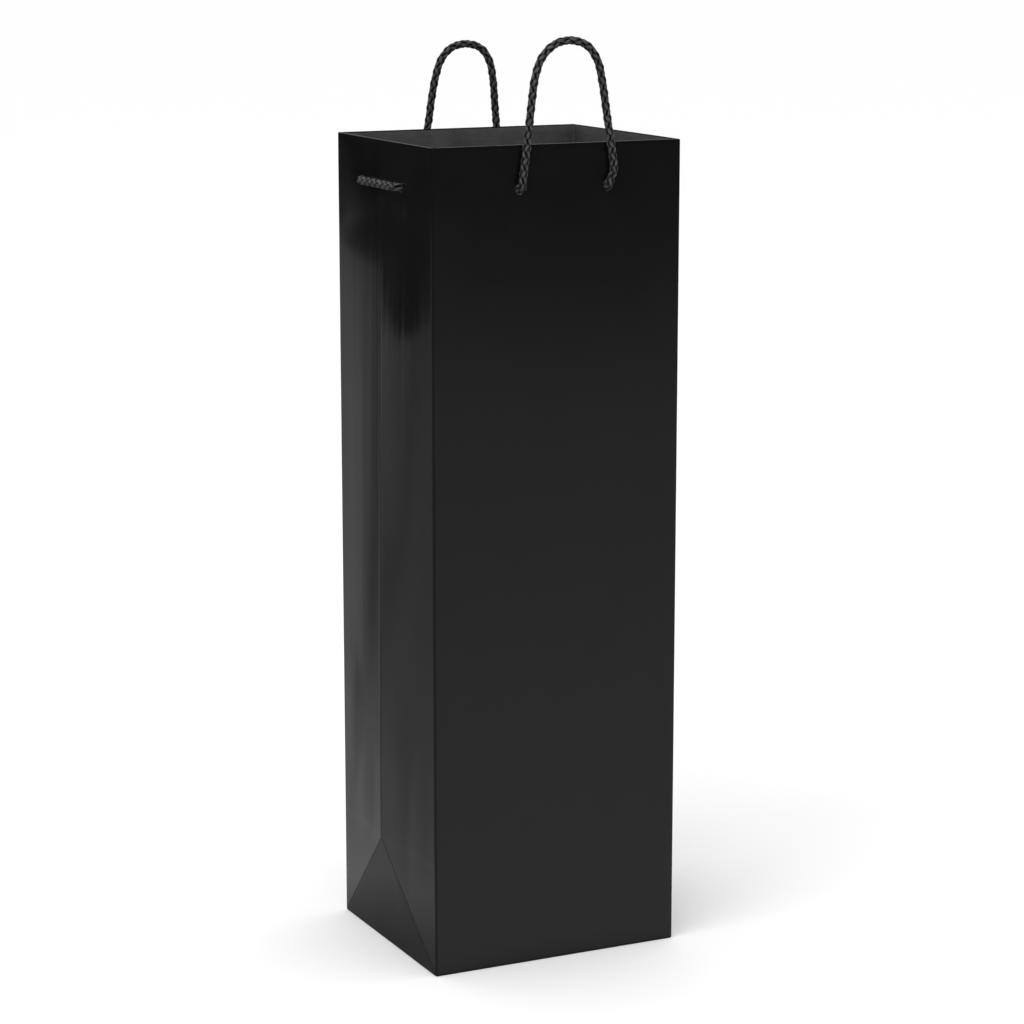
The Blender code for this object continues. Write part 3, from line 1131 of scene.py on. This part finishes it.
@dataclass
class CordRoute:
    """The whole closed loop of cord, sampled finely, with a frame that doesn't twist."""

    points: np.ndarray
    along: np.ndarray
    tangents: np.ndarray
    normals: np.ndarray

    @classmethod
    def through(cls, route: Sequence[Point], step: float) -> "CordRoute":
        """Samples a smooth closed curve through the route's points.

        Args:
            route: The points, in order round the loop.
            step: The distance between samples.

        Returns:
            The sampled loop.
        """
        p = np.array(route, float)
        before, after, last = np.roll(p, 1, 0), np.roll(p, -1, 0), np.roll(p, -2, 0)
        fine = []
        for a, b, c, d in zip(before, p, after, last):
            k1, k2, k3 = (max(np.linalg.norm(gap), 1e-6) ** 0.5 for gap in (b - a, c - b, d - c))
            m1 = k2 * ((b - a) / k1 - (c - a) / (k1 + k2)) + (c - b)
            m2 = k2 * ((d - c) / k3 - (d - b) / (k2 + k3)) + (c - b)
            for t in np.linspace(0.0, 1.0, 24, endpoint=False):
                h1 = 2 * t**3 - 3 * t**2 + 1
                fine.append(h1 * b + (1 - h1) * c + (t**3 - 2 * t**2 + t) * m1 + (t**3 - t**2) * m2)
        fine = np.array(fine + [fine[0]])
        long = np.concatenate([[0.0], np.cumsum(np.linalg.norm(np.diff(fine, axis=0), axis=1))])
        at = np.linspace(0.0, long[-1], round(long[-1] / step) + 1)
        points = np.stack([np.interp(at, long, fine[:, k]) for k in range(3)], axis=1)
        tangents = np.roll(points[:-1], -1, 0) - np.roll(points[:-1], 1, 0)
        tangents = np.vstack([tangents, tangents[:1]])
        tangents /= np.linalg.norm(tangents, axis=1)[:, None]
        normals = [np.cross(tangents[0], (0.0, 1.0, 0.0))]
        for t in tangents[1:]:
            carried = normals[-1] - t * (normals[-1] @ t)
            normals.append(carried / np.linalg.norm(carried))
        return cls(points, at, tangents, np.array(normals))

    def runs(self, wanted: Callable[[np.ndarray], bool]) -> list[slice]:
        """The unbroken stretches whose samples are wanted.

        Args:
            wanted: Says whether a point belongs.

        Returns:
            The stretches, each with the first sample past its end.
        """
        found = []
        start = None
        for i, flag in enumerate([bool(wanted(p)) for p in self.points] + [False]):
            if flag and start is None:
                start = i
            elif not flag and start is not None:
                found.append(slice(start, min(i + 1, len(self.points))))
                start = None
        return found


@dataclass
class BraidedCord:
    """The lacing cord: two handles outside, and runs inside the corners and over the gussets."""

    finishes: Finishes
    sizes: SleeveSizes
    braid: Braid = field(default_factory=Braid)
    front: tuple[tuple[float, float], ...] = (
        (-0.0181, -0.0183), (-0.0174, -0.0125), (-0.0162, -0.0040), (-0.0150, 0.0060),
        (-0.0136, 0.0175), (-0.0120, 0.0278), (-0.0089, 0.0356), (-0.0028, 0.0410),
        (0.0047, 0.0424), (0.0122, 0.0400), (0.0169, 0.0338), (0.0192, 0.0249),
        (0.0210, 0.0139), (0.0228, 0.0030), (0.0243, -0.0060), (0.0247, -0.0124),
        (0.0229, -0.0183),
    )
    back: tuple[tuple[float, float], ...] = (
        (-0.0186, -0.0183), (-0.0170, -0.0115), (-0.0149, -0.0040), (-0.0133, 0.0030),
        (-0.0119, 0.0122), (-0.0097, 0.0229), (-0.0069, 0.0303), (-0.0020, 0.0352),
        (0.0056, 0.0368), (0.0126, 0.0346), (0.0167, 0.0289), (0.0184, 0.0208),
        (0.0193, 0.0098), (0.0201, 0.0000), (0.0208, -0.0085), (0.0213, -0.0183),
    )
    gusset_hole_y: float = 0.0200
    hang: float = 0.00215  # from a panel's face to the middle of the cord on it
    elbow_rise: float = 0.0060
    elbow_depth: float = 0.0055
    lean_rise: float = 0.0025
    bend_reach: float = 0.004
    join_reach: float = 0.005
    join_wall: float = 0.00055
    join_inside: float = 0.0001
    join_squeeze: float = 0.00030
    join_ripple: float = 0.00005
    join_sides: int = 24

    @property
    def hole_z(self) -> float:
        """The height of the punched holes."""
        return self.sizes.height - self.sizes.hole_drop

    def ends(self, side: Side) -> tuple[float, float]:
        """The X of a handle's left and right holes."""
        handle = self.front if side is Side.FRONT else self.back
        return handle[0][0], handle[-1][0]

    def punched(self) -> list[tuple[str, Point]]:
        """The eight holes.

        Returns:
            For each, the axis that it is punched along, and its centre.
        """
        wide, deep, y = self.sizes.half_width, self.sizes.half_depth, self.gusset_hole_y
        made = [("Y", (x, side.value * deep, self.hole_z)) for side in Side for x in self.ends(side)]
        return made + [("X", (sign * wide, end * y, self.hole_z)) for sign in (-1, 1) for end in (-1, 1)]

    def arch(self, side: Side) -> list[Point]:
        """A handle's route from its left hole to its right one, with the turns at the holes.

        Args:
            side: Front or back.

        Returns:
            The points.
        """
        handle = self.front if side is Side.FRONT else self.back
        sign = side.value
        face = self.sizes.half_depth
        over = [(x, sign * (face + self.hang), self.sizes.height + z) for x, z in handle[1:-1]]
        turns = []
        for x in self.ends(side):
            turns.append([
                (x, sign * (face - 0.0028), self.hole_z - 0.0003),
                (x, sign * (face - 0.0002), self.hole_z - 0.0004),
                (x + 0.0003, sign * (face + 0.0017), self.hole_z + 0.0006),
                (x + 0.0003, sign * (face + self.hang + 0.0002), self.hole_z + 0.0029),
            ])
        return turns[0] + over + turns[1][::-1]

    def corner(self, side_x: int, side: Side) -> list[Point]:
        """The run inside a corner, from a handle's hole to a gusset's hole.

        Args:
            side_x: -1 for the left gusset and 1 for the right.
            side: Front or back.

        Returns:
            The points, without those in the handle's hole.
        """
        s = self.sizes
        start = abs(self.ends(side)[0 if side_x < 0 else 1])
        flat = [
            (start + 0.0006, s.half_depth - 0.0044, 0.0002),
            (start + 0.0032, s.half_depth - 0.0074, 0.0006),
            (start + 0.0100, s.half_depth - 0.0112, 0.0016),
            (start + 0.0180, s.half_depth - 0.0190, 0.0019),
            (s.half_width - 0.0115, self.gusset_hole_y + 0.0032, 0.0013),
            (s.half_width - 0.0058, self.gusset_hole_y + 0.0004, 0.0004),
            (s.half_width - 0.0006, self.gusset_hole_y, 0.0),
        ]
        return [(side_x * x, side.value * y, self.hole_z - drop) for x, y, drop in flat]

    def crossing(self, side_x: int) -> list[Point]:
        """The run outside a gusset, from its front hole to its back hole.

        Args:
            side_x: -1 for the left gusset and 1 for the right.

        Returns:
            The points.
        """
        out = self.sizes.half_width + self.hang
        half = [
            (self.sizes.half_width + 0.0010, self.gusset_hole_y - 0.0002),
            (self.sizes.half_width + 0.0023, self.gusset_hole_y - 0.0012),
            (out + 0.0006, self.gusset_hole_y - 0.0034),
            (out + 0.0008, self.gusset_hole_y - 0.0080),
            (out + 0.0007, 0.0080),
            (out + 0.0008, 0.0),
        ]
        flat = [(x, -y) for x, y in half] + half[-2::-1]
        return [(side_x * x, y, self.hole_z) for x, y in flat]

    def loop(self) -> CordRoute:
        """The whole cord, once round the bag, from the front handle's left hole.

        Returns:
            The sampled loop.
        """
        route = self.arch(Side.FRONT)
        route += self.corner(1, Side.FRONT) + self.crossing(1) + self.corner(1, Side.BACK)[::-1]
        route += self.arch(Side.BACK)[::-1]
        route += self.corner(-1, Side.BACK) + self.crossing(-1)[::-1] + self.corner(-1, Side.FRONT)[::-1]
        return CordRoute.through(route, self.braid.step)

    def build(self) -> list[Object]:
        """Makes the cord in the pieces that its bends divide it into.

        Returns:
            The pieces.
        """
        loop = self.loop()
        made = []
        for side in Side:
            made += [self.handle(loop, side), self.elbows(loop, side)]
        made += [self.lacing(loop, word, sign) for word, sign in (("left", -1), ("right", 1))]
        return [*made, self.join(loop)]

    def is_handle(self, p: np.ndarray, side: Side) -> bool:
        """Whether a point is on a handle, above its turns at the holes."""
        return p[1] * side.value > self.sizes.half_depth and p[2] > self.hole_z + self.elbow_rise

    def is_elbow(self, p: np.ndarray, side: Side) -> bool:
        """Whether a point is on the turn at a handle's hole."""
        near = p[1] * side.value > self.sizes.half_depth - self.elbow_depth
        return near and abs(p[0]) < 0.035 and not self.is_handle(p, side)

    def handle(self, loop: CordRoute, side: Side) -> Object:
        """One handle, from just above one hole, over the arch, to just above the other.

        Args:
            loop: The cord.
            side: Front or back.

        Returns:
            The piece.
        """
        runs = loop.runs(lambda p: self.is_handle(p, side))
        mesh = self.strands(f"{side.word}_handle_cord", loop, runs)
        obj = new_piece(mesh.name, mesh, (self.finishes.yarn,), None)
        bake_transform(obj)
        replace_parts(obj, *[f"{side.word}_handle_{part}" for part in ("left_leg", "right_leg", "arch")])
        return obj

    def elbows(self, loop: CordRoute, side: Side) -> Object:
        """The two turns of one handle at its holes.

        Args:
            loop: The cord.
            side: Front or back.

        Returns:
            The piece.
        """
        mesh = self.strands(f"{side.word}_hole_turns", loop, loop.runs(lambda p: self.is_elbow(p, side)))
        obj = new_piece(mesh.name, mesh, (self.finishes.yarn,), None)
        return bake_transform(obj)

    def lacing(self, loop: CordRoute, word: str, sign: int) -> Object:
        """The fixed cord of one gusset: in at the front corner, over the crease, in at the back.

        Args:
            loop: The cord.
            word: left or right.
            sign: -1 for left and 1 for right.

        Returns:
            The piece.
        """
        def wanted(p: np.ndarray) -> bool:
            """Whether a point is on this gusset's run."""
            on_handle = any(self.is_handle(p, side) or self.is_elbow(p, side) for side in Side)
            return p[0] * sign > 0 and not on_handle

        mesh = self.strands(f"{word}_gusset_lacing", loop, loop.runs(wanted))
        obj = new_piece(mesh.name, mesh, (self.finishes.yarn,), BAG)
        names = [f"gusset_cord_{word}", f"inner_cord_front_{word}", f"inner_cord_back_{word}"]
        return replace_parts(obj, *names)

    def strands(self, name: str, loop: CordRoute, runs: list[slice]) -> Mesh:
        """Braids the strands along stretches of the cord.

        Args:
            name: The mesh's name.
            loop: The cord.
            runs: The stretches.

        Returns:
            The mesh, with each strand and the core as a closed tube.
        """
        b = self.braid
        verts: list[np.ndarray] = []
        faces: list[tuple[int, ...]] = []
        uvs: list[tuple[float, float]] = []
        lifts: list[np.ndarray] = []
        turn = np.linspace(0.0, 2 * math.pi, b.sides, endpoint=False)
        for run in runs:
            centre, tangent, normal = loop.points[run], loop.tangents[run], loop.normals[run]
            binormal = np.cross(tangent, normal)
            for k in range(b.strands + 1):
                if k == b.strands:
                    out = np.cos(turn)[:, None] * normal[:, None]
                    side = np.sin(turn)[:, None] * binormal[:, None]
                    rings = centre[:, None] + b.core_radius * (out + side)
                else:
                    rings = self.strand(k, centre, normal, binormal, loop.along[run], turn)
                self.skin(len(verts) * b.sides, len(rings), faces)
                verts += list(rings)
                lifts.append(np.linalg.norm(rings - centre[:, None], axis=2).ravel() / b.radius)
                uvs += [(at + 0.37 * k, j / b.sides) for at in loop.along[run] for j in range(b.sides)]
        mesh = mesh_of(name, np.concatenate(verts).tolist(), faces)
        corner = np.zeros(len(mesh.loops), np.int32)
        mesh.loops.foreach_get("vertex_index", corner)
        layer = mesh.uv_layers.new(name="strand")
        layer.data.foreach_set("uv", np.array(uvs, np.float32)[corner].ravel())
        lift = mesh.attributes.new("lift", "FLOAT", "POINT")
        lift.data.foreach_set("value", np.concatenate(lifts).astype(np.float32))
        smooth_by_angle(mesh, 70.0)
        return mesh

    def strand(self, k: int, centre: np.ndarray, normal: np.ndarray, binormal: np.ndarray,
               along: np.ndarray, turn: np.ndarray) -> np.ndarray:
        """The rings of one strand.

        Args:
            k: The strand's number; the first half wind one way and the rest the other.
            centre: The cord's middle at each sample.
            normal: One direction across it.
            binormal: The other direction across it.
            along: The length of cord up to each sample.
            turn: The angles of a ring's points.

        Returns:
            The points, ring by ring.
        """
        b = self.braid
        half = b.strands // 2
        way = 1.0 if k < half else -1.0
        angle = 2 * math.pi * along / b.lay
        around = way * angle + (k % half) * 2 * math.pi / half
        radius = b.ring_radius + way * b.weave * np.cos(half * angle)
        out = np.cos(around)[:, None] * normal + np.sin(around)[:, None] * binormal
        line = centre + radius[:, None] * out
        flow = np.gradient(line, axis=0)
        flow /= np.linalg.norm(flow, axis=1)[:, None]
        across = np.cross(flow, out)
        across /= np.linalg.norm(across, axis=1)[:, None]
        up = np.cross(across, flow)
        wide = b.strand_half_width * np.cos(turn)
        high = b.strand_half_height * np.sin(turn)
        return line[:, None] + wide[None, :, None] * across[:, None] + high[None, :, None] * up[:, None]

    def skin(self, base: int, count: int, faces: list[tuple[int, ...]]) -> None:
        """Joins the rings of one tube and closes its ends.

        Args:
            base: The number of its first vertex.
            count: The number of its rings.
            faces: The list that its faces go on.
        """
        n = self.braid.sides
        for low in range(base, base + (count - 1) * n, n):
            faces += [(low + j, low + (j + 1) % n, low + (j + 1) % n + n, low + j + n) for j in range(n)]
        faces.append(tuple(base + j for j in range(n))[::-1])
        faces.append(tuple(base + (count - 1) * n + j for j in range(n)))

    def join(self, loop: CordRoute) -> Object:
        """The shrunk sleeve over the cord's join.

        Args:
            loop: The cord.

        Returns:
            The piece.
        """
        low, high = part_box("cord_join_sleeve")
        near = int(np.linalg.norm(loop.points - np.array((low + high) / 2), axis=1).argmin())
        reach = round(self.join_reach / self.braid.step)
        sides = self.join_sides
        rings = []
        for i in range(near - reach, near + reach + 1):
            squeeze = self.join_squeeze * (abs(i - near) / reach) ** 6
            ripple = self.join_ripple * math.sin(i * 1.9)
            rings.append((i, self.braid.radius + self.join_wall - squeeze + ripple))
        rings += [(i, self.braid.radius - self.join_inside) for i, _ in rings[::-1]]
        verts = []
        for i, radius in rings:
            normal = loop.normals[i]
            side = np.cross(loop.tangents[i], normal)
            for a in np.linspace(0.0, 2 * math.pi, sides, endpoint=False):
                verts.append(tuple(loop.points[i] + radius * (math.cos(a) * normal + math.sin(a) * side)))
        faces = []
        for i in range(len(rings)):
            here, after = i * sides, (i + 1) % len(rings) * sides
            for j in range(sides):
                k = (j + 1) % sides
                faces.append((here + j, here + k, after + k, after + j))
        mesh = mesh_of("join_sleeve", verts, faces)
        smooth_by_angle(mesh, 50.0)
        obj = new_piece("shrunk_join_sleeve", mesh, (self.finishes.shrink,), BAG)
        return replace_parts(obj, "cord_join_sleeve")


# --------------------------------------------------------------------------- the studio


@dataclass(frozen=True)
class SoftBox:
    """A soft light above the set."""

    name: str
    place: Point
    aim: Point
    power: float
    width: float
    shows_in_gloss: bool = False

    def build(self) -> None:
        """Hangs the light."""
        lamp = bpy.data.lights.new(self.name, "AREA")
        lamp.energy = self.power
        lamp.size = self.width
        obj = linked(self.name, lamp)
        obj.location = self.place
        obj.rotation_euler = (Vector(self.aim) - Vector(self.place)).to_track_quat("-Z", "Y").to_euler()
        obj.visible_glossy = self.shows_in_gloss


@dataclass
class Studio:
    """A pale floor, soft light and the camera."""

    camera_place: Point = (-0.565098, -1.172059, 0.452908)
    turn_degrees: float = -25.844
    tilt_degrees: float = 11.403
    lens_mm: float = 105.66
    sensor_mm: float = 36.0
    sky: float = 1.075
    sky_foot: float = 0.04  # the sky's level at the horizon
    horizon: tuple[float, float] = (0.06, 0.13)
    floor_half: float = 40.0
    glow_reach: float = 4.2
    # The painted reflection sheet's glow by distance from the bag, before it and behind it
    front_glow: tuple[tuple[float, float], ...] = (
        (0.00, 0.56), (0.25, 0.54), (0.46, 0.49), (0.72, 0.44), (1.05, 0.39), (1.45, 0.36),
        (2.00, 0.25), (2.90, 0.12), (4.00, 0.06),
    )
    back_glow: tuple[tuple[float, float], ...] = (
        (0.06, 0.20), (0.10, 0.38), (0.13, 0.50), (0.22, 0.42), (0.37, 0.34), (0.57, 0.29),
        (0.83, 0.27), (1.50, 0.26), (2.40, 0.22), (2.95, 0.17), (3.15, 0.06), (4.20, 0.035),
    )
    # Soft bands in the painted reflection behind the bag, by degrees round it
    bands: tuple[tuple[float, float], ...] = (
        (104.0, 1.0), (107.5, 1.30), (109.5, 1.12), (111.3, 0.72), (112.6, 0.50), (115.5, 0.9),
        (117.3, 1.95), (118.4, 1.75), (119.4, 1.15), (121.5, 0.95), (122.8, 0.75), (126.0, 1.0),
    )
    bands_begin: tuple[float, float] = (0.30, 0.80)  # distances from the bag
    back_begins: tuple[float, float] = (-0.09, -0.03)  # the Y over which front turns to back
    reflection_sheet_z: float = -0.004
    # The flag is a dark sheet that glows faintly and shows only in reflections: a painted dark reflection
    # on the left gusset
    flag_z: float = -0.003
    flag_near: tuple[float, float] = (-1.085, 1.745)
    flag_far: tuple[float, float] = (-3.0, 6.1)
    flag_half: float = 0.12
    flag_round: float = 0.60
    flag_flare: float = 2.0
    dark_reflection_glow: float = 0.035

    def build(self) -> None:
        """Sets up the floor, the glowing sheets that paint the film's reflections, the lights, the sky and
        the camera.
        """
        self.floor()
        self.painted_reflection_floor()
        self.flag()
        SoftBox("key", (-1.1, -0.5, 1.7), (0.0, 0.0, 0.25), 9.0, 0.9).build()
        SoftBox("spark", (-0.9, -1.3, 1.3), (0.0, 0.0, 0.36), 3.0, 0.35, True).build()
        self.world()
        self.camera()

    def floor(self) -> None:
        """The pale floor, which the gloss film doesn't mirror."""
        s = Shading("pale_floor")
        s.put("Base Color", (0.93, 0.93, 0.93))
        s.put("Roughness", 0.9)
        s.put("Specular IOR Level", 0.0)
        self.sheet("floor", self.square(0.0), s.material).visible_glossy = False

    def painted_reflection_floor(self) -> None:
        """A glowing sheet under the floor, seen only in reflections: a painted reflection in the film,
        bright by the bag, darker further off.
        """
        s = self.glowing("painted_reflection_floor")
        place = s.place()
        far = s.node("VectorMath", {0: place}, operation="LENGTH").outputs["Value"]
        axes = s.node("SeparateXYZ", {"Vector": place})
        angle = s.math("ARCTAN2", axes.outputs["Y"], axes.outputs["X"])
        left, right = self.bands[0][0], self.bands[-1][0]
        round_bag = s.node("MapRange", {"Value": angle, 1: math.radians(left), 2: math.radians(right)})
        banded = s.curve(round_bag.outputs[0], self.bands, left, right)
        bands = s.between(s.ramp(far, *self.bands_begin), 1.0, banded)
        share = s.math("DIVIDE", far, self.glow_reach, clamp=True)
        before = s.curve(share, self.front_glow, 0.0, self.glow_reach)
        behind = s.times(s.curve(share, self.back_glow, 0.0, self.glow_reach), bands)
        level = s.between(s.ramp(axes.outputs["Y"], *self.back_begins), before, behind)
        # Painted reflection: the sheet glows though it is no lamp, and only the film's gloss sees it
        s.feed("Emission Strength", level)
        self.only_in_gloss(self.sheet("painted_reflection_floor", self.square(self.reflection_sheet_z), s.material))

    def flag(self) -> None:
        """A dark, faintly glowing sheet under the floor behind the bag at its left, seen only in
        reflections: a painted dark reflection, whose round end the gusset mirrors.
        """
        s = self.glowing("painted_dark_reflection")
        s.put("Emission Strength", self.dark_reflection_glow)
        near, far = Vector(self.flag_near), Vector(self.flag_far)
        away = (far - near).normalized()
        side = Vector((-away.y, away.x)) * self.flag_half
        outline = []
        for turn in np.linspace(-math.pi / 2, math.pi / 2, 25):
            outline.append(near + away * self.flag_round * (1.0 - math.cos(turn)) + side * math.sin(turn))
        outline += [far + side * self.flag_flare, far - side * self.flag_flare]
        corners = [(point.x, point.y, self.flag_z) for point in outline]
        self.only_in_gloss(self.sheet("painted_dark_reflection", corners, s.material))

    def glowing(self, name: str) -> Shading:
        """Starts a material that only gives off light.

        Args:
            name: Its name.

        Returns:
            Its shading, whose strength is still to be set.
        """
        s = Shading(name)
        s.put("Base Color", (0.0, 0.0, 0.0))
        s.put("Specular IOR Level", 0.0)
        s.put("Emission Color", (1.0, 1.0, 1.0))
        return s

    def square(self, z: float) -> list[Point]:
        """The corners of the floor at a height."""
        half = self.floor_half
        return [(-half, -half, z), (half, -half, z), (half, half, z), (-half, half, z)]

    def sheet(self, name: str, outline: list[Point], material: Material) -> Object:
        """A flat sheet of the set.

        Args:
            name: Its name.
            outline: Its corners.
            material: Its material.

        Returns:
            The object.
        """
        mesh = mesh_of(name, outline, [tuple(range(len(outline)))])
        mesh.materials.append(material)
        obj = linked(name, mesh)
        return obj

    def only_in_gloss(self, obj: Object) -> None:
        """Leaves a sheet of the set visible only as a reflection."""
        for ray in ("camera", "diffuse", "shadow", "transmission"):
            setattr(obj, f"visible_{ray}", False)

    def world(self) -> None:
        """A white sky with a dark band along the horizon."""
        world = bpy.data.worlds.new("studio_sky")
        world.use_nodes = True
        tree = world.node_tree
        background = tree.nodes["Background"]
        background.inputs["Color"].default_value = (1.0, 1.0, 1.0, 1.0)
        place = tree.nodes.new("ShaderNodeTexCoord")
        axes = tree.nodes.new("ShaderNodeSeparateXYZ")
        fade = tree.nodes.new("ShaderNodeMapRange")
        fade.interpolation_type = "SMOOTHSTEP"
        levels = (*self.horizon, self.sky_foot, self.sky)
        for socket, value in zip(("From Min", "From Max", "To Min", "To Max"), levels):
            fade.inputs[socket].default_value = value
        tree.links.new(place.outputs["Generated"], axes.inputs["Vector"])
        tree.links.new(axes.outputs["Z"], fade.inputs["Value"])
        tree.links.new(fade.outputs["Result"], background.inputs["Strength"])
        bpy.context.scene.world = world

    def camera(self) -> None:
        """The camera, level with the top of the handles and looking down."""
        data = bpy.data.cameras.new("camera")
        data.lens = self.lens_mm
        data.sensor_width = self.sensor_mm
        data.clip_start = 0.01
        data.clip_end = 200.0
        obj = linked("camera", data)
        obj.location = self.camera_place
        obj.rotation_euler = (math.radians(90.0 - self.tilt_degrees), 0.0, math.radians(self.turn_degrees))
        bpy.context.scene.camera = obj
        bpy.context.scene.view_settings.view_transform = "Standard"


# --------------------------------------------------------------------------- assembly


def main() -> None:
    """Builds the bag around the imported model, and the studio around the bag."""
    logging.basicConfig(level=logging.INFO, format="%(name)s: %(message)s")
    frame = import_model()
    sizes = SleeveSizes.from_frame()
    finishes = Finishes.make(sizes)
    cord = BraidedCord(finishes, sizes)
    Studio().build()
    cord.build()
    Sleeve(finishes, sizes, cord.punched()).build()
    SeamTab(finishes).build()
    BlockBottom(finishes, sizes).build()
    BaseBoard(finishes).build()
    for side in Side:
        card = frame["nodes"][f"{side.word}_rim_card"]
        card.data.materials.clear()
        card.data.materials.append(finishes.card)
        log.info("%s: dressed", card.name)


if __name__ == "__main__":
    main()
